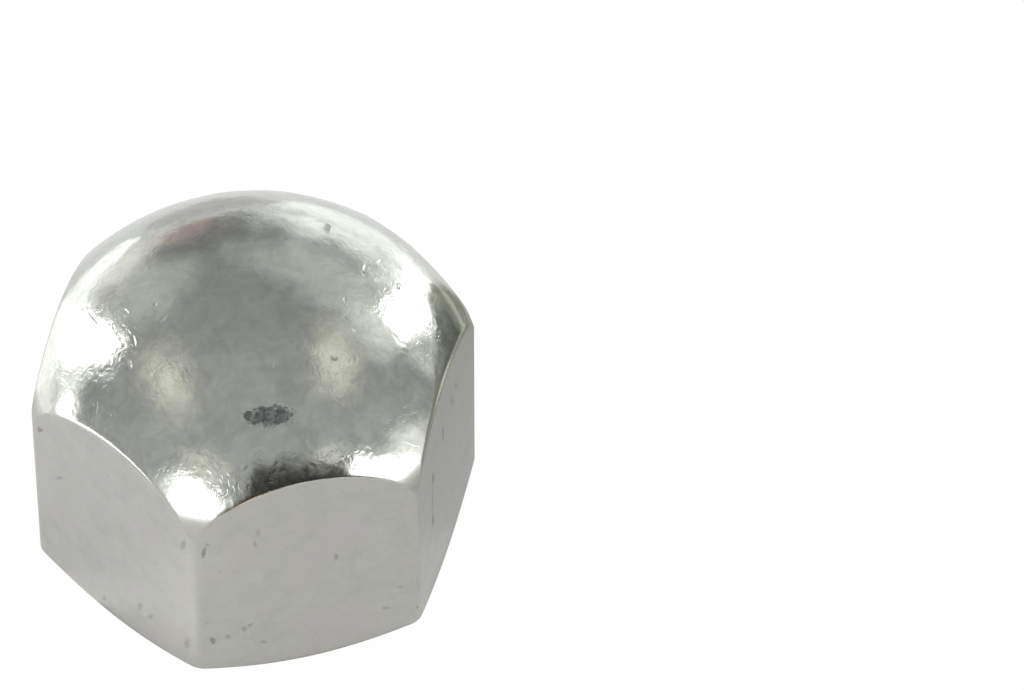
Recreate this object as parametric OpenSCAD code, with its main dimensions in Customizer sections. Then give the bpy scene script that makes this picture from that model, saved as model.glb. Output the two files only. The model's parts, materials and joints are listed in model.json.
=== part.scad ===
// Low domed cap nut, M8: a single piece made from hexagon bar.
// The bearing face lies on Z = 0 and the closed crown points along +Z.
// Two corners of the hexagon lie on +X and -X, two flats face +Y and -Y.
// The hole has the thread's minor diameter; the fine helix itself isn't cut.

/* [Hexagon] */
// width across the flats, which the wrench takes
across_flats = 13; // [10:0.1:17]
// rounding radius of the six upright edges
edge_radius = 0.5; // [0.1:0.05:1.5]

/* [Crown] */
// height from the bearing face to the top of the crown
height = 11.9; // [8:0.1:20]
// radius of the round crown
crown_radius = 8.45; // [7:0.05:16]
// metal left between the tip of the hole and the top of the crown
crown_wall = 1.2; // [0.5:0.1:3]

/* [Bearing face] */
// outer diameter of the flat ring that bears on the work
face_diameter = 12.4; // [9.5:0.1:15]
// slope of the turned chamfer around the ring, in degrees
face_chamfer = 30; // [10:1:45]

/* [Threaded hole] */
// nominal diameter of the metric thread
thread_diameter = 8; // [5:0.1:9.8]
// pitch of the thread
thread_pitch = 1.25; // [0.5:0.05:1.5]
// how much wider than the thread the countersink is at its mouth
countersink_over = 0.5; // [0.1:0.05:2]
// full angle of the countersink, in degrees
countersink_angle = 100; // [60:1:130]
// full angle of the drilled tip, in degrees
drill_point = 120; // [90:1:140]

/* [Node] */
// the piece to show

/* [Hidden] */
$fn = 120;
STEEL = [0.70, 0.70, 0.68];
// a metric thread reaches inwards by 5/8 of the height of its sharp triangle
minor_radius = thread_diameter / 2 - thread_pitch * 0.625 * cos(30);
countersink_radius = (thread_diameter + countersink_over) / 2;
countersink_slope = tan(countersink_angle / 2);
countersink_depth = (countersink_radius - minor_radius) / countersink_slope;
tip_height = minor_radius / tan(drill_point / 2);
hole_depth = height - crown_wall - tip_height;
// height of the centre of the crown's sphere: below it, the turned outline goes straight down
crown_centre = height - crown_radius;
// the rounds stand this far out of the flats, so that they meet them in a clean line
edge_lap = 0.004;
// distance from the axis to the centre of an edge's round, square to a flat
edge_centre = across_flats / 2 - edge_radius + edge_lap;
// reach of a cut past the face that it opens
past = 1;

// waste outside one rounded edge: the corner beyond the round's centre, less the round
module edge_waste() {
    reach = edge_radius + past;
    translate([edge_centre / cos(30), 0])
        difference() {
            polygon([
                [edge_radius * cos(30), -reach],
                [reach, -reach],
                [reach, reach],
                [edge_radius * cos(30), reach]
            ]);
            circle(r = edge_radius);
        }
}

// the bar's section: a hexagon with its six edges rounded
module bar_section() {
    difference() {
        circle(d = across_flats / cos(30), $fn = 6);
        for (a = [0:60:300])
            rotate(a)
                edge_waste();
    }
}

// waste outside the chamfer of the bearing face
module chamfer_waste() {
    ring = face_diameter / 2;
    rise = tan(face_chamfer);
    wide = crown_radius + past;
    polygon([
        [ring - past / rise, -past],
        [wide + past, -past],
        [wide + past, (wide + past - ring) * rise],
        [ring, 0]
    ]);
}

// half section of everything that the lathe leaves: a round crown on a straight side
module turned_section() {
    difference() {
        intersection() {
            union() {
                translate([0, crown_centre])
                    circle(r = crown_radius, $fn = 240);
                translate([0, -crown_radius])
                    square([crown_radius, height]);
            }
            square([crown_radius, height]);
        }
        chamfer_waste();
    }
}

// the hexagon, rounded at the top and chamfered below
module blank() {
    intersection() {
        linear_extrude(height)
            bar_section();
        rotate_extrude()
            turned_section();
    }
}

// countersink, round hole at the thread's minor diameter, and the drilled tip
module blind_hole() {
    rotate_extrude()
        polygon([
            [0, -past],
            [countersink_radius + past * countersink_slope, -past],
            [minor_radius, countersink_depth],
            [minor_radius, hole_depth],
            [0, hole_depth + tip_height]
        ]);
}

// the whole nut
module cap_nut() {
    color(STEEL)
        difference() {
            blank();
            blind_hole();
        }
}

cap_nut();
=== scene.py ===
"""A low domed M8 cap nut of bright stainless steel, standing on its bearing face on a pale floor.

A meridian is spun round the axis, the six flats are pressed into the spun blank, and a helical
groove is cut into the bore. Lengths inside the classes are in millimetres; the finished mesh is
scaled to metres, in the frame of the CAD model.
"""

import json
import logging
import math
from dataclasses import dataclass
from enum import Enum
from typing import Any, Iterable, Union

import bmesh
import bpy
from mathutils import Matrix, Quaternion, Vector, noise


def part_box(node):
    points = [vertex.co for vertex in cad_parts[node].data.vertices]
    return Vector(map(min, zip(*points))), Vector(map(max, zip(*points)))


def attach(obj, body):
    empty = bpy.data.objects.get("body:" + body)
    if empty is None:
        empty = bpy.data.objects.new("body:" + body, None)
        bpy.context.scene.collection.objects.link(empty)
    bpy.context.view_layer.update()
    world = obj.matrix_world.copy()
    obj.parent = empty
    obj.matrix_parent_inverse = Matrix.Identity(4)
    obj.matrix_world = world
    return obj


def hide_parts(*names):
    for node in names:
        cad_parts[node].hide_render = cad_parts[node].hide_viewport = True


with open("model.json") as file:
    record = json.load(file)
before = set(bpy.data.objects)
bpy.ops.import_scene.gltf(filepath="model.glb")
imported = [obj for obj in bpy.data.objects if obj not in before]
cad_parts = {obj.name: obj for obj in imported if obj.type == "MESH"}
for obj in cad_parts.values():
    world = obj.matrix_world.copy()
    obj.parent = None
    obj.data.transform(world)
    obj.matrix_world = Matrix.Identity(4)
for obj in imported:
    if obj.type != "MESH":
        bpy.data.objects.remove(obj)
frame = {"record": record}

log = logging.getLogger("cap_nut")

MM = 0.001
CORNERS = 6
FULL_TURN = 2.0 * math.pi
SECTOR = FULL_TURN / CORNERS
CENTRE = Vector((0.0, 0.0, 0.0))
UP = Vector((0.0, 0.0, 1.0))
CAMERA_BEARING = math.radians(-103.0)
THREAD_RADIUS = 4.0
THREAD_PITCH = 1.25
CROWN_CENTRE = Vector((0.0, 0.0, 3.45))
CROWN_REACH = 6.5
CROWN_FOOT = 8.85
SMALL_MARK = 2.0
SMALL_DEPTH = 0.4
LARGE_DEPTH = 1.0
RELIEF_OFFSET = Vector((7.3, 2.9, 4.1))
NUT_MIDDLE = Vector((0.0, 0.0, 0.006))
POWER_PER_AREA = 4.0
BAND_EDGE = 0.03
FAR_OFF = 9.0
SLACK = 1e-6

Point = tuple[float, float]
Triple = tuple[float, float, float]
Pattern = tuple[float, ...]


# ---- small helpers


def smoothstep(low: float, high: float, x: float) -> float:
    """Returns 0 for x below low, 1 above high, and a smooth step between."""
    t = min(1.0, max(0.0, (x - low) / (high - low)))
    return t * t * (3.0 - 2.0 * t)


def toward(turn: float, rise: float) -> Vector:
    """Returns the unit direction from the nut towards a place in the studio.

    Args:
        turn: Degrees round the nut from the camera's side, counter-clockwise from above.
        rise: Degrees above the floor.

    Returns:
        The direction, in the nut's frame.
    """
    bearing, height = CAMERA_BEARING + math.radians(turn), math.radians(rise)
    flat = math.cos(height)
    return Vector((math.cos(bearing) * flat, math.sin(bearing) * flat, math.sin(height)))


def line(start: Point, end: Point, steps: int) -> list[Point]:
    """Returns the points of a straight stretch, without its start."""
    across, along = end[0] - start[0], end[1] - start[1]
    return [
        (start[0] + across * i / steps, start[1] + along * i / steps) for i in range(1, steps + 1)
    ]


def arc(centre: Point, radius: float, start: float, end: float, steps: int) -> list[Point]:
    """Returns the points of an arc without its start; angles run outwards from the axis."""
    angles = [start + (end - start) * i / steps for i in range(1, steps + 1)]
    return [
        (centre[0] + radius * math.sin(a), centre[1] + radius * math.cos(a)) for a in angles
    ]


def fillet(before: Point, corner: Point, after: Point, radius: float, steps: int) -> list[Point]:
    """Returns the points that round a corner between two straight stretches.

    Args:
        before: A point on the stretch that comes in.
        corner: The sharp corner.
        after: A point on the stretch that goes out.
        radius: Radius of the rounding.
        steps: How many pieces the arc has.

    Returns:
        The arc's points with both ends.
    """
    into = (Vector(before) - Vector(corner)).normalized()
    away = (Vector(after) - Vector(corner)).normalized()
    half = into.angle(away) / 2.0
    middle = Vector(corner) + (into + away).normalized() * (radius / math.sin(half))
    reach = radius / math.tan(half)
    first = Vector(corner) + into * reach - middle
    last = Vector(corner) + away * reach - middle
    points = []
    for i in range(steps + 1):
        spoke = first.normalized().slerp(last.normalized(), i / steps)
        points.append(tuple(middle + spoke * radius))
    return points


def in_scene(name: str, data: bpy.types.ID) -> bpy.types.Object:
    """Makes an object and puts it in the scene.

    Args:
        name: The object's name.
        data: Its mesh, lamp or camera.

    Returns:
        The object.
    """
    made = bpy.data.objects.new(name, data)
    bpy.context.scene.collection.objects.link(made)
    return made


def mesh_object(name: str, bm: bmesh.types.BMesh) -> bpy.types.Object:
    """Turns a finished bmesh into an object in the scene.

    Args:
        name: The object's name.
        bm: The mesh, which is freed.

    Returns:
        The object.
    """
    mesh = bpy.data.meshes.new(name)
    bm.to_mesh(mesh)
    bm.free()
    return in_scene(name, mesh)


# ---- shader maths

NOISE_SOCKETS = ("Scale", "Detail", "Roughness", "Distortion")

Value = Union["Wire", float]


@dataclass
class Wire:
    """A number that varies over a surface, and takes part in Python arithmetic."""

    tree: "Tree"
    socket: bpy.types.NodeSocket

    def math(self, operation: str, *others: Value) -> "Wire":
        """Adds a Math node that takes this wire first."""
        return self.tree.math(operation, self, *others)

    def __add__(self, other: Value) -> "Wire":
        """Adds."""
        return self.math("ADD", other)

    def __radd__(self, other: Value) -> "Wire":
        """Adds to a number."""
        return self.tree.math("ADD", other, self)

    def __sub__(self, other: Value) -> "Wire":
        """Subtracts."""
        return self.math("SUBTRACT", other)

    def __rsub__(self, other: Value) -> "Wire":
        """Subtracts from a number."""
        return self.tree.math("SUBTRACT", other, self)

    def __mul__(self, other: Value) -> "Wire":
        """Multiplies."""
        return self.math("MULTIPLY", other)

    def __rmul__(self, other: Value) -> "Wire":
        """Multiplies a number."""
        return self.tree.math("MULTIPLY", other, self)

    def __neg__(self) -> "Wire":
        """Turns the sign."""
        return self.math("MULTIPLY", -1.0)

    def __pow__(self, other: Value) -> "Wire":
        """Raises to a power."""
        return self.math("POWER", other)

    def step(self, low: float, high: float) -> "Wire":
        """Returns a smooth step, 0 at low and 1 at high, either of which may be the larger."""
        return self.tree.node(
            "ShaderNodeMapRange",
            {"interpolation_type": "SMOOTHSTEP"},
            {"Value": self, "From Min": low, "From Max": high},
        )


@dataclass
class Arrow:
    """A vector that varies over a surface."""

    tree: "Tree"
    socket: bpy.types.NodeSocket

    def vector(self, operation: str, *others: Any, out: str = "Vector") -> Any:
        """Adds a Vector Math node that takes this arrow first.

        Args:
            operation: The Vector Math node's operation.
            others: Its other vectors, or a scale.
            out: The output that is used.

        Returns:
            The result, a wire or an arrow.
        """
        sockets: dict[Any, Any] = {0: self}
        if operation == "SCALE":
            sockets["Scale"] = others[0]
        else:
            sockets.update(enumerate(others, start=1))
        return self.tree.node("ShaderNodeVectorMath", {"operation": operation}, sockets, out)

    def __mul__(self, other: Any) -> "Arrow":
        """Scales by a number or a wire, or stretches by a vector."""
        stretched = isinstance(other, (tuple, Vector, Arrow))
        return self.vector("MULTIPLY" if stretched else "SCALE", other)

    def dot(self, other: Any) -> Wire:
        """Returns the dot product with a vector."""
        return self.vector("DOT_PRODUCT", other, out="Value")

    def length(self) -> Wire:
        """Returns the vector's length."""
        return self.vector("LENGTH", out="Value")

    def parts(self) -> tuple[Wire, Wire, Wire]:
        """Returns the three components."""
        split = self.tree.add("ShaderNodeSeparateXYZ", {}, {0: self})
        return tuple(Wire(self.tree, s) for s in split.outputs)


class Tree:
    """The node tree of a material or a world, filled from Python expressions."""

    def __init__(self, owner: Union[bpy.types.Material, bpy.types.World]) -> None:
        """Empties the owner's tree.

        Args:
            owner: The material or world that is dressed.
        """
        owner.use_nodes = True
        self.nodes = owner.node_tree.nodes
        self.links = owner.node_tree.links
        self.nodes.clear()

    def add(self, kind: str, settings: dict[str, Any], sockets: dict[Any, Any]) -> bpy.types.Node:
        """Adds one node: its type, then its settings, then its sockets.

        Args:
            kind: The node's type name.
            settings: Its properties.
            sockets: Values, wires, arrows or sockets for its inputs, by name or number.

        Returns:
            The node.
        """
        made = self.nodes.new(kind)
        for name, value in settings.items():
            setattr(made, name, value)
        for key, value in sockets.items():
            self._feed(made.inputs[key], value)
        return made

    def node(
        self, kind: str, settings: dict[str, Any], sockets: dict[Any, Any], out: Any = 0
    ) -> Any:
        """Adds one node and returns an output: an arrow if it is a vector, and else a wire."""
        socket = self.add(kind, settings, sockets).outputs[out]
        return (Arrow if socket.type == "VECTOR" else Wire)(self, socket)

    def math(self, operation: str, *values: Value) -> Wire:
        """Adds a Math node."""
        return self.node("ShaderNodeMath", {"operation": operation}, dict(enumerate(values)))

    def mix(self, share: Value, first: Any, second: Any) -> Wire:
        """Mixes two colours; the share says how much of the second one shows."""
        return self.node("ShaderNodeMix", {"data_type": "RGBA"}, {0: share, 6: first, 7: second}, 2)

    def millimetres(self) -> Arrow:
        """Returns the object's own coordinates, in millimetres."""
        place = self.node("ShaderNodeTexCoord", {}, {}, "Object")
        return place * (1.0 / MM)

    def noise(self, place: Arrow, pattern: Pattern) -> Wire:
        """Returns a cloudy pattern, between about 0.2 and 0.8."""
        sockets = {"Vector": place, **dict(zip(NOISE_SOCKETS, pattern))}
        return self.node("ShaderNodeTexNoise", {}, sockets)

    def attribute(self, name: str) -> Wire:
        """Returns a number painted on the mesh's points."""
        return self.node("ShaderNodeAttribute", {"attribute_name": name}, {}, "Fac")

    def bump(self, height: Wire, distance: float, under: Any = None) -> Arrow:
        """Returns a normal bent by a height.

        Args:
            height: The height, in units of distance.
            distance: What a height of 1 stands for, in millimetres.
            under: A normal that is bent further.

        Returns:
            The bent normal.
        """
        sockets = {"Height": height, "Distance": distance * MM, "Strength": 1.0}
        if under is not None:
            sockets["Normal"] = under
        return self.node("ShaderNodeBump", {}, sockets)

    def show(self, kind: str, sockets: dict[Any, Any]) -> None:
        """Adds the last shader and joins it to the material's surface."""
        shader = self.add(kind, {}, sockets)
        self.add("ShaderNodeOutputMaterial", {}, {"Surface": shader.outputs[0]})

    def _feed(self, socket: bpy.types.NodeSocket, value: Any) -> None:
        """Links or sets one input.

        Args:
            socket: The input.
            value: What it takes: a wire, an arrow, a socket or a constant.
        """
        source = getattr(value, "socket", value)
        if isinstance(source, bpy.types.NodeSocket):
            self.links.new(source, socket)
        else:
            socket.default_value = source


# ---- finishes


def grey(value: float, tint: Triple = (1.0, 1.0, 1.0)) -> tuple[float, ...]:
    """Returns a grey of some linear brightness, times a tint, with its alpha."""
    return tuple(value * part for part in tint) + (1.0,)


@dataclass(frozen=True)
class Fade:
    """Between which values of a mask a layer fades in, and how strong it gets."""

    start: float
    end: float
    amount: float

    def of(self, mask: Wire) -> Wire:
        """Returns the layer's share where the mask has some value."""
        return mask.step(self.start, self.end) * self.amount


@dataclass(frozen=True)
class Mark:
    """An oval mark on the skin: a stain, a pit or a nick."""

    place: Triple
    length: float
    width: float
    turn: float = 0.0

    def outward(self) -> Vector:
        """Returns the direction that the crown or the flat faces at the mark.

        Returns:
            The direction, of unit length.
        """
        x, y, z = self.place
        if math.hypot(x, y) < CROWN_REACH and z > CROWN_FOOT:
            return (Vector(self.place) - CROWN_CENTRE).normalized()
        side = (round(math.atan2(y, x) / SECTOR - 0.5) + 0.5) * SECTOR
        return Vector((math.cos(side), math.sin(side), 0.0))

    def distance(self, tree: Tree, place: Arrow) -> Wire:
        """Returns 0 at the mark's centre and 1 on its outline.

        Args:
            tree: The material's tree.
            place: Coordinates in millimetres.

        Returns:
            The distance from the centre.
        """
        normal = self.outward()
        east = UP.cross(normal).normalized()
        axes = Matrix((east, normal.cross(east), normal)).transposed()
        axes = axes @ Matrix.Rotation(math.radians(self.turn), 3, "Z")
        depth = SMALL_DEPTH if self.length < SMALL_MARK else LARGE_DEPTH
        sockets = {
            "Vector": place,
            "Location": self.place,
            "Rotation": axes.to_euler(),
            "Scale": (self.length / 2.0, self.width / 2.0, depth),
        }
        local = tree.node("ShaderNodeMapping", {"vector_type": "TEXTURE"}, sockets)
        return local.length()


def marks(*rows: tuple[float, ...]) -> tuple[Mark, ...]:
    """Makes marks from rows of a place (x, y, z), a length, a width and perhaps a turn."""
    return tuple(Mark(row[:3], *row[3:]) for row in rows)


@dataclass(frozen=True)
class TumbledSteel:
    """The outside: satin flats, a glossier crown with a wrinkled forged skin, and worn edges."""

    name: str = "tumbled_steel"
    flat_grey: float = 0.50
    crown_grey: float = 0.60
    edge_grey: float = 0.52
    flat_tint: Triple = (0.995, 1.0, 0.945)
    crown_tint: Triple = (0.970, 1.0, 0.935)
    warm_tint: Triple = (1.025, 0.985, 0.955)
    soil_tint: Triple = (0.93, 1.0, 1.0)
    crust_tint: Triple = (0.93, 1.0, 0.98)
    flat_rough: float = 0.44
    crown_rough: float = 0.15
    edge_rough: float = 0.24
    worn: float = 0.8
    skin_depth: float = 0.010
    dent_depth: float = 0.016
    stroke_stretch: Triple = (0.9, 0.9, 12.0)
    # Patterns: cells per millimetre, octaves, weight of the finer octaves, twist.
    cloud: Pattern = (0.55, 3.0, 0.6, 0.6)
    haze: Pattern = (1.5, 4.0, 0.62, 1.2)
    grain: Pattern = (9.0, 4.0, 0.62)
    mottle: Pattern = (1.1, 5.0, 0.66, 0.5)
    stroke: Pattern = (1.0, 3.0, 0.6)
    ragged: Pattern = (5.0, 4.0, 0.7)
    torn: Pattern = (10.0, 3.0, 0.7)
    soil: Pattern = (4.5, 4.0, 0.65, 0.8)
    spatter: Pattern = (7.0, 3.0, 0.7)
    fleck: Pattern = (4.2, 3.0, 0.7)
    straying: Pattern = (1.6, 2.0, 0.6)
    dimple: Pattern = (2.1, 1.5, 0.5, 0.6)
    crinkle: Pattern = (3.4, 2.5, 0.6, 0.9)
    vein: Pattern = (1.7, 1.0, 0.5, 1.3)
    broken: Pattern = (1.1, 2.0, 0.6)
    warm_fade: Fade = Fade(0.42, 0.62, 0.6)
    stain_fade: Fade = Fade(1.05, 0.78, 0.92)
    pit_fade: Fade = Fade(1.05, 0.30, 0.46)
    smudge_fade: Fade = Fade(1.1, 0.2, 0.32)
    stain_rough: Fade = Fade(1.05, 0.8, 0.42)
    stain_dent: Fade = Fade(1.1, 0.7, 0.4)
    pit_dent: Fade = Fade(1.05, 0.3, 1.2)
    nick_dent: Fade = Fade(1.1, 0.0, 0.55)
    stains: tuple[Mark, ...] = marks(
        (-0.60, -4.78, 10.39, 1.40, 0.70, -2), (-1.28, -4.61, 10.41, 0.42, 0.36),
    )
    pits: tuple[Mark, ...] = marks(
        (3.07, 2.02, 11.06, 0.76, 0.26, -55), (4.78, -0.49, 10.40, 0.42, 0.18, -21),
        (3.71, -0.16, 11.04, 0.28, 0.14, -22), (1.84, -3.45, 10.94, 0.27, 0.17, -29),
        (5.36, -3.72, 6.52, 1, 0.24, -86), (4.70, -4.86, 5.80, 0.70, 0.34, -76),
        (4.67, -4.91, 3.78, 0.76, 0.36, -81), (-7.27, -0.41, 6.99, 0.53, 0.23, 56),
        (3.71, -6.50, 1.40, 0.20, 0.10, -85), (-3.19, -6.50, 2.02, 0.41, 0.23, -84),
        (-3.36, -6.50, 6.48, 0.61, 0.17, 82),
    )
    smudges: tuple[Mark, ...] = marks(
        (4.65, -4.94, 4.81, 1.90, 0.26, 89), (5.94, -2.71, 6.85, 1.09, 0.40, -61),
        (6.21, -2.25, 7.01, 0.99, 0.25, -52), (-3.96, -6.15, 6.67, 0.90, 0.23, 76),
        (-3.97, -6.12, 1.74, 0.75, 0.32, 71), (-4.82, -4.66, 1.65, 0.60, 0.20, 54),
        (-6.85, -1.13, 5.29, 0.59, 0.15, 43), (-5.95, -2.70, 0.74, 0.45, 0.20, 68),
        (-5.07, -4.22, 1.78, 0.56, 0.24, 70), (-3.25, -6.50, 6.84, 0.32, 0.18, -27),
        (-2.14, -6.50, 2.29, 0.32, 0.22, -72), (-1.94, -6.50, 2.42, 0.26, 0.21, 14),
        (-1.56, -6.50, 6.89, 0.44, 0.20, -87), (-1.67, -6.50, 6.39, 0.40, 0.16, -88),
        (-1.49, -6.50, 1.42, 0.29, 0.19, -31), (-2.24, -6.47, 8.38, 1.66, 0.15, 26),
        (0.99, -6.50, 4.89, 0.45, 0.20, -87), (3.11, -6.50, 2.71, 0.29, 0.18, -31),
        (2.63, -6.50, 1.80, 0.39, 0.17, -22), (-2.69, -6.50, 2.06, 0.36, 0.20, -84),
    )
    nicks: tuple[Mark, ...] = marks(
        (-4.05, 0.41, 10.85, 0.46, 0.17, 24), (-3.04, -0.58, 11.31, 0.44, 0.18, -68),
        (-3.16, 0.06, 11.28, 0.22, 0.14), (-4.99, 1.02, 10.19, 1.10, 0.14, 26),
        (-4.10, -0.83, 10.79, 0.50, 0.16, -17), (-4.41, -1.50, 10.50, 0.47, 0.16, -27),
        (-0.10, -3.43, 11.17, 0.30, 0.15, 68), (4.43, 0.49, 10.63, 0.61, 0.16, -55),
        (3.81, 0.04, 10.99, 0.55, 0.15, -31), (2.79, -2.50, 11.02, 0.32, 0.16, 85),
        (2.76, -1.41, 11.31, 0.37, 0.14, 11),
    )
    crinkled: tuple[Mark, ...] = marks(
        (-4.37, 0.21, 10.68, 3.40, 2.30, -6), (3.72, -0.29, 11.03, 6.40, 3.90, -23),
        (-2, 3.41, 10.92, 2.80, 2.40, -87), (1.01, 2.97, 11.29, 3.80, 1.60, -86),
        (-3.24, -5.19, 9.28, 2.30, 1, 12), (-6, -0.38, 9.39, 4.30, 0.70, 47),
        (1.40, -6, 9.20, 2.60, 1.20, -20), (-3.34, -2.55, 10.78, 2.05, 1.50, 23),
        (1.66, -3.63, 10.90, 2.05, 1.80, 43),
    )

    def make(self) -> bpy.types.Material:
        """Builds the material.

        Returns:
            The material.
        """
        material = bpy.data.materials.new(self.name)
        tree = Tree(material)
        place = tree.millimetres()
        crown = tree.attribute("crown")
        edge = tree.attribute("edge")

        cloud = tree.noise(place, self.cloud)
        haze = tree.noise(place, self.haze)
        grain = tree.noise(place, self.grain)
        mottle = tree.noise(place, self.mottle)
        stroke = tree.noise(place * self.stroke_stretch, self.stroke)
        ragged = (tree.noise(place, self.ragged) - 0.5) * 1.6
        torn = (tree.noise(place, self.torn) - 0.5) * 2.2
        stain = self._nearest(tree, place, self.stains) + ragged
        folded = self._folded(tree, place)
        pit = self._nearest(tree, folded, self.pits) + torn
        smudge = self._nearest(tree, folded, self.smudges) + torn
        nick = self._nearest(tree, place, self.nicks) + torn * 0.3

        tone = (mottle - 0.5) * 1.6 + (stroke - 0.5) * 0.30 + (haze - 0.5) * 0.85 + 0.5
        colour = tree.mix(
            tone,
            grey(self.flat_grey * 0.90, self.flat_tint),
            grey(self.flat_grey * 1.08, self.flat_tint),
        )
        warm = grey(self.flat_grey, self.warm_tint)
        colour = tree.mix(self.warm_fade.of(cloud), colour, warm)
        top = tree.mix(
            (cloud - 0.5) * 1.9 + (haze - 0.5) * 1.7 + 0.5,
            grey(self.crown_grey * 0.84, self.crown_tint),
            grey(self.crown_grey * 1.12, self.crown_tint),
        )
        colour = tree.mix(crown, colour, top)
        colour = tree.mix(edge * self.worn, colour, grey(self.edge_grey, self.flat_tint))
        soiled = tree.mix(
            tree.noise(place, self.soil).step(0.40, 0.66),
            grey(0.11, self.soil_tint),
            grey(0.30, self.crust_tint),
        )
        colour = tree.mix(self.stain_fade.of(stain), colour, soiled)
        spatter = stain.step(1.7, 0.9) * tree.noise(place, self.spatter).step(0.56, 0.64)
        colour = tree.mix(spatter * 0.5, colour, soiled)
        fleck = tree.noise(place, self.fleck).step(0.66, 0.74) * (1.0 - crown)
        dark = self.pit_fade.of(pit)
        dark = dark.math("MAXIMUM", self.smudge_fade.of(smudge))
        dark = dark.math("MAXIMUM", fleck * 0.16)
        colour = tree.mix(dark, colour, grey(0.10, self.flat_tint))

        rough = self.flat_rough + (grain - 0.5) * 0.22
        rough_top = self.crown_rough + (grain - 0.5) * 0.12 + (haze - 0.5) * 0.12
        rough = rough * (1.0 - crown) + rough_top * crown
        rough = rough * (1.0 - edge * self.worn) + edge * (self.worn * self.edge_rough)
        rough = rough.math("MAXIMUM", self.stain_rough.of(stain))

        normal = tree.bump(self._skin(tree, place, crown, grain), self.skin_depth)
        dent = self.stain_dent.of(stain) + self.pit_dent.of(pit) + self.nick_dent.of(nick)
        normal = tree.bump(-dent, self.dent_depth, under=normal)
        tree.show(
            "ShaderNodeBsdfPrincipled",
            {"Base Color": colour, "Metallic": 1.0, "Roughness": rough, "Normal": normal},
        )
        return material

    def _folded(self, tree: Tree, place: Arrow) -> Arrow:
        """Turns the far flats half a turn, onto the near ones, so that both have marks.

        Args:
            tree: The material's tree.
            place: Coordinates in millimetres.

        Returns:
            The turned coordinates.
        """
        _, y, z = place.parts()
        far = y.step(0.0, 0.02) * z.step(9.0, 8.95)
        side = 1.0 - far * 2.0
        return place * tree.node("ShaderNodeCombineXYZ", {}, {0: side, 1: side, 2: 1.0})

    def _nearest(self, tree: Tree, place: Arrow, group: Iterable[Mark]) -> Wire:
        """Returns the distance to the nearest mark.

        Args:
            tree: The material's tree.
            place: Coordinates in millimetres.
            group: The marks.

        Returns:
            0 at the centre of a mark and 1 on its outline.
        """
        near: Any = FAR_OFF
        for mark in group:
            near = mark.distance(tree, place).math("MINIMUM", near)
        return near

    def _skin(self, tree: Tree, place: Arrow, crown: Wire, grain: Wire) -> Wire:
        """Returns the height of the fine skin: wrinkles on the crown, and grain on the flats.

        Args:
            tree: The material's tree.
            place: Coordinates in millimetres.
            crown: 1 on the crown and 0 elsewhere.
            grain: The fine grain.

        Returns:
            The height, in units of the skin's depth.
        """
        outer = (place * (1.0, 1.0, 0.0)).length().step(1.5, 5.5)
        patch = self._nearest(tree, place, self.crinkled)
        patch = patch + (tree.noise(place, self.straying) - 0.5) * 1.8
        patch = patch.step(1.15, 0.45)
        dimple = tree.noise(place, self.dimple) - 0.5
        crinkle = tree.noise(place, self.crinkle) - 0.5
        vein = (tree.noise(place, self.vein) - 0.5).math("ABSOLUTE").step(0.035, 0.0)
        broken = tree.noise(place, self.broken).step(0.50, 0.60)
        wrinkles = dimple * (outer * 0.55 + 0.30) + crinkle * (patch + 0.10)
        wrinkles = wrinkles - vein * broken * (outer * 0.10 + 0.03)
        return wrinkles * crown + (grain - 0.5) * (0.6 - crown * 0.5)


@dataclass(frozen=True)
class CutSteel:
    """The bore: bright flanks with fine tool lines that follow the helix."""

    name: str = "cut_steel"
    shade: float = 0.60
    rough: float = 0.22
    line_depth: float = 0.003
    line_stretch: Triple = (0.6, 0.6, 22.0)
    lines: Pattern = (1.0, 2.0, 0.5)
    cloud: Pattern = (1.4, 3.0, 0.6)

    def make(self) -> bpy.types.Material:
        """Builds the material.

        Returns:
            The material.
        """
        material = bpy.data.materials.new(self.name)
        tree = Tree(material)
        place = tree.millimetres()
        lines = tree.noise(place * self.line_stretch, self.lines)
        cloud = tree.noise(place, self.cloud)
        colour = tree.mix(cloud, grey(self.shade * 0.85), grey(self.shade * 1.05))
        rough = self.rough + (cloud - 0.5) * 0.2
        normal = tree.bump(lines, self.line_depth)
        tree.show(
            "ShaderNodeBsdfPrincipled",
            {"Base Color": colour, "Metallic": 1.0, "Roughness": rough, "Normal": normal},
        )
        return material


# ---- the nut


class Stretch(Enum):
    """The stretches of the meridian from the crown's pole to the drilled tip, with their rows."""

    CROWN = ("crown", 74)
    SHOULDER = ("shoulder", 8)
    SIDE = ("side", 24)
    CHAMFER = ("chamfer", 4)
    FACE = ("face", 8)
    SINK = ("sink", 5)
    BORE = ("bore", 10)
    TIP = ("tip", 5)

    @property
    def rows(self) -> int:
        """Returns how many steps the stretch is made in."""
        return self.value[1]


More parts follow.
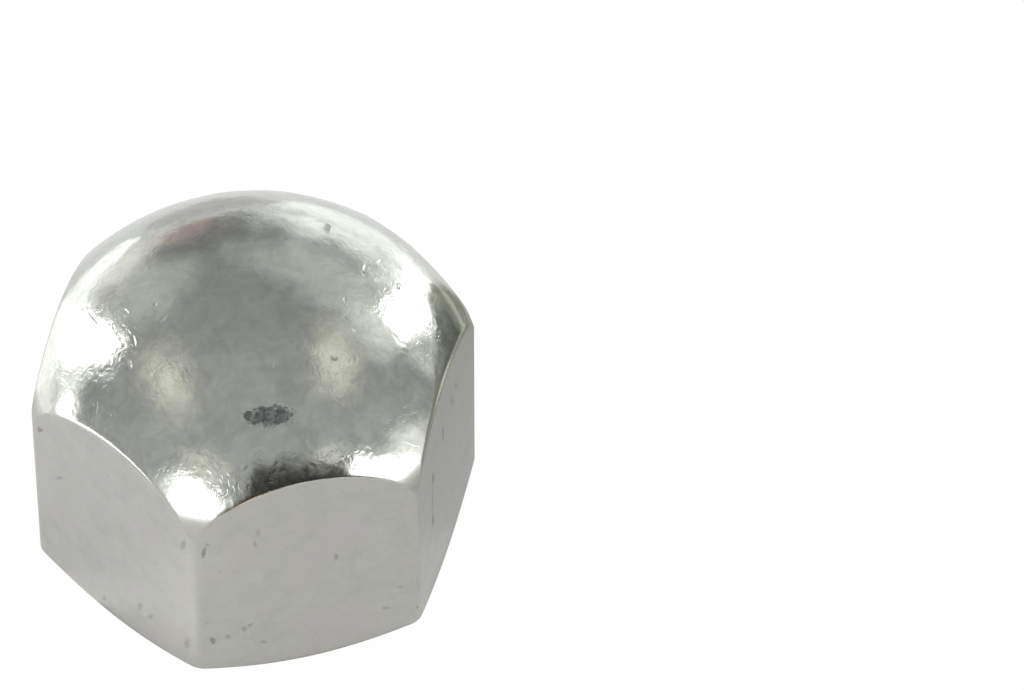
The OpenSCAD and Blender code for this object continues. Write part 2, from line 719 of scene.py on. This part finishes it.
@dataclass
class Blank:
    """The turned and pressed blank, with its countersunk and drilled hole but no thread."""

    across_flats: float
    height: float
    bore_radius: float
    crown_radius: float = 8.45
    edge_radius: float = 0.5
    face_radius: float = 6.2
    chamfer_slope: float = math.tan(math.radians(30.0))
    sink_radius: float = 4.25
    sink_slope: float = math.tan(math.radians(50.0))
    tip_slope: float = math.tan(math.radians(60.0))
    crown_wall: float = 1.2
    turned_radius: float = 7.45
    turned_round: float = 2.2
    heel_round: float = 0.15
    toe_round: float = 0.12
    lip_round: float = 0.06
    heel_steps: int = 5
    toe_steps: int = 3
    crown_fade: Point = (-0.06, 0.20)
    shoulder_fade: Point = (0.2, 0.9)
    chamfer_wear: float = 0.5
    spun_radius: float = 8.0
    spun_weld: float = 1e-4
    pressed_weld: float = 1e-5
    creases: tuple[float, ...] = (0.25, 0.25, 0.25, 0.42, 0.19, 0.60)
    crease_corner: float = 0.30
    crease_spread: float = 6.0
    relief: tuple[Point, ...] = ((2.6, 0.020), (1.1, 0.011), (0.5, 0.005))
    columns: int = 60
    gather: float = 0.8

    def reach(self, turn: float) -> float:
        """Returns the distance from the axis to the hexagon with its rounded edges.

        Args:
            turn: Angle round the axis, in radians; a corner lies at 0.

        Returns:
            The distance.
        """
        off = (turn + SECTOR / 2.0) % SECTOR - SECTOR / 2.0
        middle = (self.across_flats / 2.0 - self.edge_radius) / math.cos(SECTOR / 2.0)
        inside = self.edge_radius**2 - (middle * math.sin(off)) ** 2
        if inside > 0.0:
            rounded = middle * math.cos(off) + math.sqrt(inside)
            lean = math.atan2(abs(rounded * math.sin(off)), rounded * math.cos(off) - middle)
            if lean <= SECTOR / 2.0:
                return rounded
        return self.across_flats / 2.0 / math.cos(SECTOR / 2.0 - abs(off))

    def corner_share(self, turn: float) -> float:
        """Returns 1 at a corner of the hexagon, as at a turn of 0, and less beside it."""
        off = math.degrees((turn + SECTOR / 2.0) % SECTOR - SECTOR / 2.0)
        return math.exp(-(math.hypot(off, 1.0) - 1.0) / self.crease_spread)

    def turned(self, radius: float) -> tuple[Point, float, float]:
        """Returns the arc of the turned outline that a crease of some radius ends on.

        Args:
            radius: Distance from the axis to the crease's centre, plus the crease's radius.

        Returns:
            The arc's centre, its radius, and the slope at which the outline joins it.
        """
        low = self.height - self.crown_radius
        inner = self.turned_radius - self.turned_round
        rise = math.sqrt((self.crown_radius - self.turned_round) ** 2 - inner**2)
        join = math.atan2(inner, rise)
        if radius <= self.crown_radius * math.sin(join):
            return (0.0, low), self.crown_radius, join
        return (inner, low + rise), self.turned_round, join

    def crease(self, turn: float) -> tuple[float, float, Point, Point, float]:
        """Returns the rounding between the turned outline and the flat at one angle.

        Args:
            turn: Angle round the axis, in radians.

        Returns:
            Its radius, the slope where it starts, its centre, and the centre and the radius
            of the arc that it leaves.
        """
        share = self.corner_share(turn)
        own = self.creases[int(turn / SECTOR) % CORNERS]
        radius = own + (self.crease_corner - own) * share
        reach = self.reach(turn)
        for probe in (0.0, self.turned_radius):
            centre, arc_radius, join = self.turned(probe)
            inner = reach - radius - centre[0]
            rise = math.sqrt((arc_radius - radius) ** 2 - inner**2)
            lean = math.atan2(inner, rise)
            if lean <= join:
                break
        return radius, lean, (reach - radius, centre[1] + rise), centre, arc_radius

    def outline(self, turn: float, steps: int) -> list[Point]:
        """Returns the turned outline from the crown's pole to the crease, without the pole.

        Args:
            turn: Angle round the axis, in radians.
            steps: How many points are made, evenly spaced.

        Returns:
            The points in order.
        """
        _, lean, _, centre, arc_radius = self.crease(turn)
        crown, _, join = self.turned(0.0)
        first = min(lean, join) * self.crown_radius
        second = max(0.0, lean - join) * self.turned_round
        points = []
        for i in range(1, steps + 1):
            run = (first + second) * i / steps
            if run <= first + SLACK:
                points += arc(crown, self.crown_radius, 0.0, run / self.crown_radius, 1)
            else:
                points += arc(centre, arc_radius, 0.0, join + (run - first) / arc_radius, 1)
        return points

    def section(self, turn: float) -> list[tuple[Stretch, Point]]:
        """Returns the meridian at one angle, from the crown's pole to the drilled tip.

        Args:
            turn: Angle round the axis, in radians.

        Returns:
            Every point with its stretch; the number of points is the same at every angle.
        """
        reach = self.reach(turn)
        round_off, lean, middle, _, _ = self.crease(turn)
        wall, rim, mouth = (reach, middle[1]), (self.face_radius, 0.0), (self.sink_radius, 0.0)
        low = (reach, (reach - self.face_radius) * self.chamfer_slope)
        sink_low = (self.bore_radius, (self.sink_radius - self.bore_radius) / self.sink_slope)
        tip = self.height - self.crown_wall
        shoulder = (self.bore_radius, tip - self.bore_radius / self.tip_slope)
        heel = fillet(wall, low, rim, self.heel_round, self.heel_steps)
        toe = fillet(low, rim, mouth, self.toe_round, self.toe_steps)
        lip = fillet(toe[-1], mouth, sink_low, self.lip_round, self.toe_steps)
        path = {
            Stretch.CROWN: [(0.0, self.height)] + self.outline(turn, Stretch.CROWN.rows),
            Stretch.SHOULDER: arc(middle, round_off, lean, math.pi / 2.0, Stretch.SHOULDER.rows),
            Stretch.SIDE: line(wall, heel[0], Stretch.SIDE.rows),
            Stretch.CHAMFER: heel[1:] + line(heel[-1], toe[0], Stretch.CHAMFER.rows),
            Stretch.FACE: toe[1:] + line(toe[-1], lip[0], Stretch.FACE.rows),
            Stretch.SINK: lip[1:] + line(lip[-1], sink_low, Stretch.SINK.rows),
            Stretch.BORE: line(sink_low, shoulder, Stretch.BORE.rows),
            Stretch.TIP: line(shoulder, (0.0, tip), Stretch.TIP.rows),
        }
        return [(stretch, point) for stretch, points in path.items() for point in points]

    def column_turn(self, angle: float) -> float:
        """Gathers the columns of the spun mesh towards the corners, where the shape is finest.

        Args:
            angle: The column's angle after the spin, evenly spaced.

        Returns:
            The angle at which the column belongs.
        """
        whole, part = divmod(angle / SECTOR, 1.0)
        part -= self.gather * math.sin(FULL_TURN * part) / FULL_TURN
        return (whole + part) * SECTOR

    def spin(self) -> tuple[bmesh.types.BMesh, bmesh.types.BMLayerItem]:
        """Spins a meridian of plain points round the axis.

        Returns:
            The mesh, and the layer that holds each point's place along the meridian.
        """
        path = self.section(SECTOR / 2.0)
        bm = bmesh.new()
        order = bm.verts.layers.int.new("order")
        ends = [bm.verts.new(CENTRE), bm.verts.new((1.0, 0.0, 0.0))]
        thread = bm.edges.new(ends)
        bmesh.ops.subdivide_edges(bm, edges=[thread], cuts=len(path) - 2)
        along = sorted(bm.verts, key=lambda v: v.co.x)
        for i, vert in enumerate(along):
            vert[order] = i
            radius = self.spun_radius if 0 < i < len(path) - 1 else 0.0
            vert.co = (radius, 0.0, -float(i))
        bmesh.ops.spin(
            bm,
            geom=bm.verts[:] + bm.edges[:],
            cent=CENTRE,
            axis=UP,
            dvec=CENTRE,
            angle=FULL_TURN,
            steps=self.columns * CORNERS,
            use_merge=True,
        )
        bmesh.ops.remove_doubles(bm, verts=bm.verts, dist=self.spun_weld)
        return bm, order

    def build(self) -> bmesh.types.BMesh:
        """Spins the blank and presses it to shape.

        Returns:
            The blank, in millimetres, with its zones painted on its points.
        """
        bm, order = self.spin()
        crown = bm.verts.layers.float.new("crown")
        edge = bm.verts.layers.float.new("edge")
        count = self.columns * CORNERS
        sections: dict[int, tuple[float, list[tuple[Stretch, Point]]]] = {}
        for vert in bm.verts:
            angle = math.atan2(vert.co.y, vert.co.x) % FULL_TURN
            column = round(angle / FULL_TURN * count) % count
            if column not in sections:
                turn = self.column_turn(column * FULL_TURN / count)
                sections[column] = (turn, self.section(turn))
            turn, path = sections[column]
            row = vert[order]
            stretch, (radius, height) = path[row]
            vert.co = (radius * math.cos(turn), radius * math.sin(turn), height)
            vert[crown] = self._crown_paint(stretch, row, radius)
            vert[edge] = self._edge_paint(stretch, row, turn)
            if vert[crown] > 0.0:
                outward = (vert.co - UP * (self.height - self.crown_radius)).normalized()
                vert.co += outward * (vert[crown] * self._forged(vert.co))
        bmesh.ops.remove_doubles(bm, verts=bm.verts, dist=self.pressed_weld)
        bmesh.ops.recalc_face_normals(bm, faces=bm.faces)
        return bm

    def _forged(self, place: Vector) -> float:
        """Returns the height of the crown's forged skin above the true sphere.

        Args:
            place: A point of the sphere.

        Returns:
            The height.
        """
        height = 0.0
        for i, (cell, rise) in enumerate(self.relief):
            height += rise * noise.noise(place / cell + RELIEF_OFFSET * (i + 1))
        return height

    def _crown_paint(self, stretch: Stretch, row: int, radius: float) -> float:
        """Returns 1 on the crown, fading towards the corners and the flats, and 0 elsewhere.

        Args:
            stretch: The point's stretch.
            row: Its place along the meridian.
            radius: Its distance from the axis.

        Returns:
            How much of the crown finish shows.
        """
        join = self.crown_radius * math.sin(self.turned(0.0)[2])
        inside = 1.0 - smoothstep(*self.crown_fade, radius - join)
        if stretch is Stretch.CROWN:
            return inside
        if stretch is Stretch.SHOULDER:
            down = (row - Stretch.CROWN.rows) / Stretch.SHOULDER.rows
            return inside * (1.0 - smoothstep(*self.shoulder_fade, down))
        return 0.0

    def _edge_paint(self, stretch: Stretch, row: int, turn: float) -> float:
        """Returns 1 on the worn edges and 0 elsewhere.

        Args:
            stretch: The point's stretch.
            row: Its place along the meridian.
            turn: Its angle round the axis, in radians.

        Returns:
            How worn the edge is.
        """
        if stretch is Stretch.SHOULDER:
            share = (row - Stretch.CROWN.rows) / Stretch.SHOULDER.rows
            return math.sin(math.pi * share) * (1.0 - self.corner_share(turn))
        return self.chamfer_wear if stretch is Stretch.CHAMFER else 0.0


@dataclass
class ThreadGroove:
    """The helical ridge of waste that a tap removes from the bore."""

    major_radius: float
    minor_radius: float
    pitch: float
    turns: float = 6.6
    start: float = -1.9
    steps_per_turn: int = 96
    overlap: float = 0.12
    flank: float = math.tan(math.radians(30.0))
    root_share: float = 1.0 / 16.0

    def build(self) -> bmesh.types.BMesh:
        """Spins the groove's section up the bore.

        Returns:
            The closed ridge, in millimetres.
        """
        bm = bmesh.new()
        inner = self.minor_radius - self.overlap
        root = self.pitch * self.root_share
        mouth = root + (self.major_radius - inner) * self.flank
        outline = [
            (inner, -mouth),
            (self.major_radius, -root),
            (self.major_radius, root),
            (inner, mouth),
        ]
        verts = [bm.verts.new((r, 0.0, z + self.start)) for r, z in outline]
        bm.faces.new(verts)
        bmesh.ops.spin(
            bm,
            geom=bm.faces[:] + bm.edges[:] + bm.verts[:],
            cent=CENTRE,
            axis=UP,
            dvec=(0.0, 0.0, self.pitch / self.steps_per_turn),
            angle=FULL_TURN * self.turns,
            steps=round(self.turns * self.steps_per_turn),
            use_merge=False,
        )
        bmesh.ops.recalc_face_normals(bm, faces=bm.faces)
        return bm


@dataclass
class CapNut:
    """The whole nut: the blank, tapped and dressed."""

    blank: Blank
    groove: ThreadGroove
    name: str = "nut"
    mouth_gap: float = 0.02
    roof_gap: float = 0.05
    roof_slope: float = 0.5
    weld: float = 2e-7
    sliver: float = 1e-7
    sharp_angle: float = 28.0

    def build(self) -> bpy.types.Object:
        """Makes the nut's object.

        Returns:
            The finished piece, riding on the root body.
        """
        body = mesh_object(self.name, self.blank.build())
        tap = mesh_object("tap", self.groove.build())
        cut = body.modifiers.new("tapped", "BOOLEAN")
        cut.operation = "DIFFERENCE"
        cut.solver = "EXACT"
        cut.object = tap
        ready = bpy.context.evaluated_depsgraph_get()
        mesh = bpy.data.meshes.new_from_object(body.evaluated_get(ready))
        body.modifiers.clear()
        body.data = mesh
        bpy.data.objects.remove(tap)
        self._finish_mesh(mesh)
        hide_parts("cap_nut")
        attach(body, "root")
        log.info("%s: %d points, %d faces", self.name, len(mesh.vertices), len(mesh.polygons))
        return body

    def dress(self, piece: bpy.types.Object) -> None:
        """Gives the nut its two finishes.

        Args:
            piece: The nut's object.
        """
        piece.data.materials.clear()
        piece.data.materials.append(TumbledSteel().make())
        piece.data.materials.append(CutSteel().make())
        inside = self.blank.sink_radius + self.mouth_gap
        roof = self.blank.height - self.blank.crown_wall + self.roof_gap
        for face in piece.data.polygons:
            middle = face.center / MM
            out = math.hypot(middle.x, middle.y)
            in_bore = out < inside and middle.z < roof - self.roof_slope * out
            face.material_index = int(in_bore)

    def _finish_mesh(self, mesh: bpy.types.Mesh) -> None:
        """Scales the mesh to metres, cleans it and marks its sharp edges.

        Args:
            mesh: The tapped mesh, in millimetres.
        """
        bm = bmesh.new()
        bm.from_mesh(mesh)
        bmesh.ops.transform(bm, matrix=Matrix.Scale(MM, 4), verts=bm.verts)
        bmesh.ops.remove_doubles(bm, verts=bm.verts, dist=self.weld)
        bmesh.ops.dissolve_degenerate(bm, edges=bm.edges, dist=self.sliver)
        bmesh.ops.recalc_face_normals(bm, faces=bm.faces)
        open_edges = [e for e in bm.edges if len(e.link_faces) != 2]
        log.info("open or crowded edges: %d", len(open_edges))
        bm.to_mesh(mesh)
        bm.free()
        mesh.shade_smooth()
        mesh.set_sharp_from_angle(angle=math.radians(self.sharp_angle))


# ---- the studio


@dataclass(frozen=True)
class SoftBox:
    """A rectangular studio light that faces the nut."""

    name: str
    turn: float
    rise: float
    width: float
    height: float
    brightness: float
    lean: float = 0.0
    distance: float = 0.30

    def place(self) -> None:
        """Puts the light in the studio."""
        lamp = bpy.data.lights.new(self.name, "AREA")
        lamp.shape = "RECTANGLE"
        lamp.size = 2.0 * self.distance * math.tan(math.radians(self.width) / 2.0)
        lamp.size_y = 2.0 * self.distance * math.tan(math.radians(self.height) / 2.0)
        lamp.energy = self.brightness * lamp.size * lamp.size_y * POWER_PER_AREA
        made = in_scene(self.name, lamp)
        back = toward(self.turn, self.rise)
        made.location = NUT_MIDDLE + back * self.distance
        roll = Quaternion(UP, math.radians(self.lean))
        made.rotation_euler = (back.to_track_quat("Z", "Y") @ roll).to_euler()
        made.visible_camera = False


@dataclass(frozen=True)
class Glow:
    """An oval patch of the canopy that is lighter or darker than the rest."""

    turn: float
    rise: float
    width: float
    height: float
    shade: Triple
    lean: float = 0.0
    soft: float = 0.6

    def share(self, way: Arrow, ragged: Wire) -> Wire:
        """Returns 1 inside the patch, falling to 0 at its outline.

        Args:
            way: Unit direction from the nut.
            ragged: How far the outline strays, as a share of the patch's size.

        Returns:
            How much of the patch shows.
        """
        centre = toward(self.turn, self.rise)
        east = Vector((-centre.y, centre.x, 0.0)).normalized()
        axes = Matrix.Rotation(math.radians(self.lean), 3, centre)
        across = axes @ east / math.sin(math.radians(self.width) / 2.0)
        up = axes @ centre.cross(east) / math.sin(math.radians(self.height) / 2.0)
        off = way.dot(across) ** 2.0 + way.dot(up) ** 2.0
        ahead = way.dot(centre).step(0.0, 0.1)
        return (off.math("SQRT") + ragged).step(1.0, 1.0 - self.soft) * ahead


@dataclass
class Canopy:
    """The grey ceiling of the studio, with dim lamps and the dark camera in front of it."""

    radius: float = 0.42
    brim: float = 1.0
    back_shade: float = 0.37
    front_shade: float = 0.515
    ragged: Pattern = (9.0, 3.0, 0.65, 0.8)
    ragged_stretch: Triple = (1.0, 1.0, 0.45)
    ragged_share: float = 0.9
    glows: tuple[Glow, ...] = (
        Glow(-173, 18, 42, 56, (0.30, 0.30, 0.31)),
        Glow(-166, 2, 26, 38, (0.64, 0.51, 0.48), -8, 0.8),
        Glow(146, 38, 84, 40, (0.66, 0.69, 0.67)),
        Glow(-140, 31, 46, 42, (0.62, 0.64, 0.60)),
        Glow(-151, 3, 26, 54, (1.15, 1.13, 1.08), -28, 0.8),
        Glow(158, -1, 54, 54, (1.50, 1.53, 1.50), 0, 0.8),
        Glow(111, 13, 16, 18, (1.00, 1.00, 0.97), 0, 0.9),
        Glow(-125, 12, 34, 62, (0.98, 0.98, 0.96), -30, 0.8),
        Glow(132, 13, 36, 66, (1.00, 1.01, 0.98), 33, 0.8),
        Glow(144, 4, 22, 44, (1.40, 1.41, 1.38), 33, 0.8),
        Glow(-112, 9, 18, 26, (1.55, 1.55, 1.50), -25, 0.9),
        Glow(-84, 53.5, 52, 28, (1.08, 1.08, 0.93), 8, 1),
        Glow(94, 56, 48, 26, (1.10, 1.10, 0.94), 0, 1),
        Glow(117, 37, 34, 30, (1.10, 1.10, 1.06), 15, 1),
        Glow(-30, 37, 32, 16, (0.98, 0.98, 0.86), 0, 0.8),
        Glow(-46, 21, 18, 18, (0.90, 0.90, 0.88), 0, 0.8),
        Glow(75, 11, 38, 27, (1.35, 1.35, 1.30), -30, 0.9),
        Glow(18, 17, 71, 55, (0.045, 0.045, 0.04), 6, 0.24),
        Glow(40, 36, 22, 15, (1.05, 1.05, 1.00), 0, 0.8),
        Glow(4, 6, 16, 12, (3.4, 2.2, 1.2)),
    )

    def build(self) -> None:
        """Makes the canopy."""
        bm = bmesh.new()
        bmesh.ops.create_icosphere(bm, subdivisions=5, radius=self.radius)
        low = self.radius * math.sin(math.radians(self.brim))
        bmesh.ops.bisect_plane(
            bm,
            geom=bm.verts[:] + bm.edges[:] + bm.faces[:],
            plane_co=(0.0, 0.0, low),
            plane_no=(0.0, 0.0, -1.0),
            clear_outer=True,
        )
        bmesh.ops.reverse_faces(bm, faces=bm.faces)
        canopy = mesh_object("canopy", bm)
        canopy.data.materials.append(self._material())
        canopy.visible_camera = False

    def _material(self) -> bpy.types.Material:
        """Builds the canopy's glow.

        Returns:
            The material.
        """
        material = bpy.data.materials.new("canopy_cloth")
        tree = Tree(material)
        way = tree.node("ShaderNodeTexCoord", {}, {}, "Object").vector("NORMALIZE")
        rise = way.parts()[2]
        front = way.dot(toward(0.0, 0.0))
        cloth = tree.mix(front.step(-0.6, 0.5), grey(self.back_shade), grey(self.front_shade))
        colour = tree.mix(rise.step(0.03, 0.22), grey(1.0), cloth)
        ragged = tree.noise(way * self.ragged_stretch, self.ragged) - 0.5
        ragged = ragged * self.ragged_share
        for glow in self.glows:
            colour = tree.mix(glow.share(way, ragged), colour, glow.shade + (1.0,))
        tree.show("ShaderNodeEmission", {"Color": colour, "Strength": 1.0})
        material.cycles.emission_sampling = "NONE"
        return material


@dataclass(frozen=True)
class Card:
    """A plain oval or six-sided card, standing or lying, that only the steel's reflections show."""

    name: str
    turn: float
    distance: float
    height: float
    width: float
    length: float
    shade: Triple
    sides: int = 64
    lying: bool = False
    band: tuple[float, float] = (0.0, 0.0)
    band_shade: Triple = (1.0, 1.0, 0.9)

    def place(self) -> None:
        """Sets the card beside the nut."""
        bm = bmesh.new()
        bmesh.ops.create_circle(bm, cap_ends=True, segments=self.sides, radius=0.5)
        along = bm.verts.layers.float.new("along")
        for vert in bm.verts:
            vert[along] = vert.co.y + 0.5
        outward = toward(self.turn, 0.0)
        middle = outward * self.distance + UP * self.height
        face, tall = (UP, outward) if self.lying else (outward, UP)
        axes = Matrix((tall.cross(face) * self.width, tall * self.length, face)).transposed()
        spread = Matrix.Translation(middle * MM) @ (axes * MM).to_4x4()
        bmesh.ops.transform(bm, matrix=spread, verts=bm.verts)
        card = mesh_object(self.name, bm)
        card.data.materials.append(self._material())
        card.visible_camera = card.visible_diffuse = card.visible_shadow = False

    def _material(self) -> bpy.types.Material:
        """Builds the card's glow, with its band from the low or near end.

        Returns:
            The material.
        """
        material = bpy.data.materials.new(self.name)
        tree = Tree(material)
        along = tree.attribute("along")
        low, high = self.band
        share = along.step(low, low + BAND_EDGE) * along.step(high + BAND_EDGE, high)
        colour = tree.mix(share, self.shade + (1.0,), self.band_shade + (1.0,))
        tree.show("ShaderNodeEmission", {"Color": colour, "Strength": 1.0})
        material.cycles.emission_sampling = "NONE"
        return material


@dataclass(frozen=True)
class LyingCard(Card):
    """A card that lies on the floor; its length runs away from the nut."""

    lying: bool = True


@dataclass
class Studio:
    """Floor, canopy, lights and camera."""

    lights: tuple[SoftBox, ...] = (
        SoftBox("left_strip_light", -123.5, 11, 14, 46, 2.6, -30),
        SoftBox("right_strip_light", 131, 10, 12, 42, 2.6, 33),
        SoftBox("left_low_light", -84.5, 1.5, 48, 12, 2.3),
        SoftBox("front_left_light", -28.5, 19.2, 21, 18, 2.6),
        SoftBox("front_right_light", 61, 13.5, 35, 9, 2.6, -43),
    )
    cards: tuple[Card, ...] = (
        Card("olive_card", 97.5, 14, 1.5, 24.4, 17.8, (0.31, 0.32, 0.265), band=(0.65, 0.69)),
        Card("dark_card", 107, 13.4, 7.8, 7, 3.6, (0.17, 0.18, 0.16)),
        Card("crease_card", 95, 13.3, 5.4, 3, 2.8, (1.15, 1.15, 1.03)),
        # Painted shade: a grey sheet on the floor beside the right flat, seen only in reflections,
        # stands for shadowed floor there.
        LyingCard("right_shade_card", 104, 10.8, 0.2, 14, 9.6, (0.67, 0.67, 0.68)),
        LyingCard("left_card", -64, 13, 0.2, 22, 13, (1.00, 1.00, 1.00)),
        # Painted shade: a darker sheet on the floor near the nut's foot, seen only in reflections,
        # darkens the left flat's lower part.
        LyingCard("left_corner_shade_card", -76, 8.8, 0.25, 8, 3.4, (0.86, 0.86, 0.86)),
        LyingCard("front_card", -34, 11.5, 0.25, 7, 7, (1.15, 1.15, 1.13)),
        LyingCard("front_corner_card", -8, 12.6, 0.25, 8, 5, (1.02, 1.02, 1.00)),
        LyingCard("back_reflector", 160, 120, 0.28, 48, 180, (1.38, 1.40, 1.38)),
        LyingCard("left_reflector", -139, 142, 0.3, 70, 216, (1.75, 1.75, 1.75)),
        LyingCard("near_reflector", -120, 78, 0.3, 30, 104, (1.5, 1.5, 1.5)),
        LyingCard("right_reflector", 141.5, 142, 0.3, 37, 216, (1.75, 1.75, 1.75)),
        # Painted shade: a grey sheet on the floor behind the nut, seen only in reflections, makes
        # that floor darker in the crown's rim.
        LyingCard("back_shade_card", -174, 75, 0.35, 26, 90, (0.64, 0.63, 0.63)),
        # Painted shadow: a dark six-sided sheet under the nut's foot, seen only in reflections,
        # stands for its contact shadow.
        LyingCard("contact_shadow_card", 43, 0, 0.02, 15.3, 15.3, (0.42, 0.42, 0.42), 6),
    )
    floor_size: float = 1.6
    floor_gap: float = 0.02
    paper_shade: float = 0.9
    floor_glow: float = 1.06
    seen_share: float = 0.90
    eye: Triple = (-0.037864, -0.163882, 0.195185)
    aim: Triple = (0.008560, -0.000632, 0.006559)
    tilt: float = 0.060
    lens: float = 272.0
    sensor_width: float = 36.0
    clip: Point = (0.01, 10.0)
    mirrored_share: float = 0.60

    def build(self) -> None:
        """Sets the whole stage."""
        self._floor()
        Canopy().build()
        for light in self.lights:
            light.place()
        for card in self.cards:
            card.place()
        self._surroundings()
        self._camera()
        bpy.context.scene.view_settings.view_transform = "Standard"

    def _floor(self) -> None:
        """Makes the pale floor, which keeps the nut's shadow."""
        bm = bmesh.new()
        bmesh.ops.create_grid(bm, x_segments=1, y_segments=1, size=self.floor_size)
        bmesh.ops.translate(bm, verts=bm.verts, vec=(0.0, 0.0, -self.floor_gap * MM))
        floor = mesh_object("floor", bm)
        material = bpy.data.materials.new("pale_floor")
        tree = Tree(material)
        paper = tree.add("ShaderNodeBsdfDiffuse", {}, {"Color": grey(self.paper_shade)})
        white = {"Color": grey(1.0), "Strength": self.floor_glow}
        glow = tree.add("ShaderNodeEmission", {}, white)
        rays = tree.add("ShaderNodeLightPath", {}, {})
        seen = Wire(tree, rays.outputs["Is Camera Ray"]) * self.seen_share
        mirrored = Wire(tree, rays.outputs["Is Glossy Ray"]) * self.mirrored_share
        through = Wire(tree, rays.outputs["Is Transmission Ray"]) * self.mirrored_share
        share = seen.math("MAXIMUM", mirrored).math("MAXIMUM", through)
        sockets = {0: share, 1: paper.outputs[0], 2: glow.outputs[0]}
        tree.show("ShaderNodeMixShader", sockets)
        floor.data.materials.append(material)

    def _surroundings(self) -> None:
        """Makes the white surroundings."""
        world = bpy.data.worlds.new("white_room")
        bpy.context.scene.world = world
        tree = Tree(world)
        white = tree.add("ShaderNodeBackground", {}, {"Color": grey(1.0), "Strength": 1.0})
        tree.add("ShaderNodeOutputWorld", {}, {"Surface": white.outputs[0]})

    def _camera(self) -> None:
        """Puts the camera where it looks down on the crown and two flats."""
        view = bpy.data.cameras.new("camera")
        view.lens = self.lens
        view.sensor_width = self.sensor_width
        view.clip_start, view.clip_end = self.clip
        made = in_scene("camera", view)
        made.location = self.eye
        made.rotation_mode = "QUATERNION"
        ahead = Vector(self.aim) - Vector(self.eye)
        tilt = Quaternion(UP, math.radians(self.tilt))
        made.rotation_quaternion = ahead.to_track_quat("-Z", "Y") @ tilt
        bpy.context.scene.camera = made


def main() -> None:
    """Builds the nut and its stage."""
    logging.basicConfig(level=logging.INFO, format="%(name)s: %(message)s")
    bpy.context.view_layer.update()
    low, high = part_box("cap_nut")
    thread = next(m for m in frame["record"]["mounts"] if m["name"] == "thread")
    minor = thread["dims"]["r_mm"]
    blank = Blank((high.y - low.y) / MM, (high.z - low.z) / MM, minor)
    groove = ThreadGroove(THREAD_RADIUS, minor, THREAD_PITCH)
    nut = CapNut(blank, groove)
    nut.dress(nut.build())
    Studio().build()


if __name__ == "__main__":
    main()
